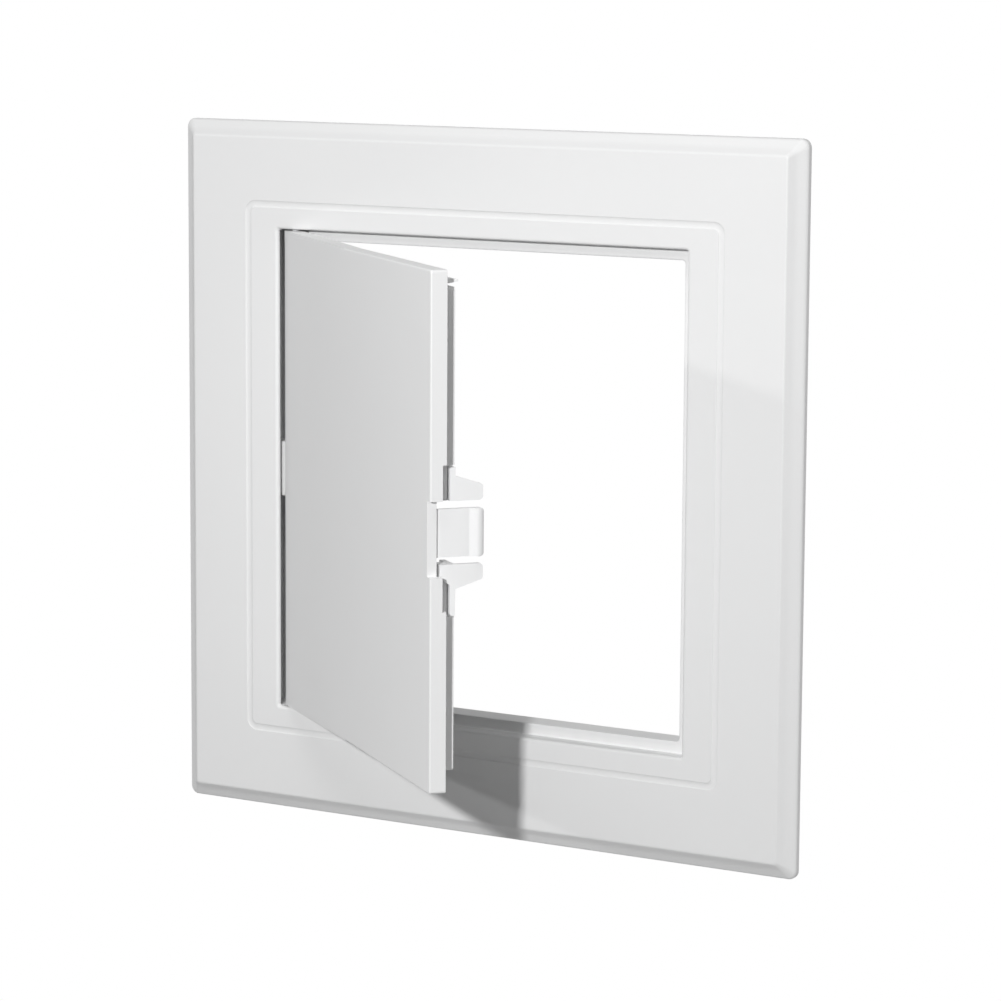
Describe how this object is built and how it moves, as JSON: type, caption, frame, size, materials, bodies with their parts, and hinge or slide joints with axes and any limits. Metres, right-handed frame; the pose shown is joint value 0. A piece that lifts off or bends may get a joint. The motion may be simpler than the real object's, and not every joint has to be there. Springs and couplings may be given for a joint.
{
  "type": "ceiling access panel",
  "caption": "Square access panel with a bevelled flange and a collar, and a side-hinged door that snaps shut on a springy tongue.",
  "frame": {"origin": "centre of the opening, in the plane of the flange's back edge, which meets the ceiling board", "axes": "+Y into the ceiling, away from the visible face; +Z along the hinge, towards the panel's top edge as pictured; +X from the hinge towards the latch"},
  "size_m": [0.216, 0.0995, 0.216],
  "materials": {
    "frame_white": "satin",
    "door_white": "satin",
    "latch_white": "satin",
    "pin_white": "satin"
  },
  "bodies": {
    "frame": {"frame": "frame_white", "upper_hinge_pin": "pin_white", "lower_hinge_pin": "pin_white"},
    "door": {"door_panel": "door_white", "latch_block": "latch_white"},
    "tongue": {"latch_tongue": "latch_white"}
  },
  "joints": [
    {"name": "door_hinge", "type": "hinge", "parent": "frame", "child": "door", "pos_m": [-0.067, -0.00235, 0], "axis": [0, 0, -1], "range_deg": [-39.1, 64.9]},
    {"name": "latch_flex", "type": "hinge", "parent": "door", "child": "tongue", "pos_m": [0.03689, -0.08588, 0], "axis": [0, 0, 1], "range_deg": [0, 8], "stiffness_Nm_per_rad": 0.5}
  ]
}
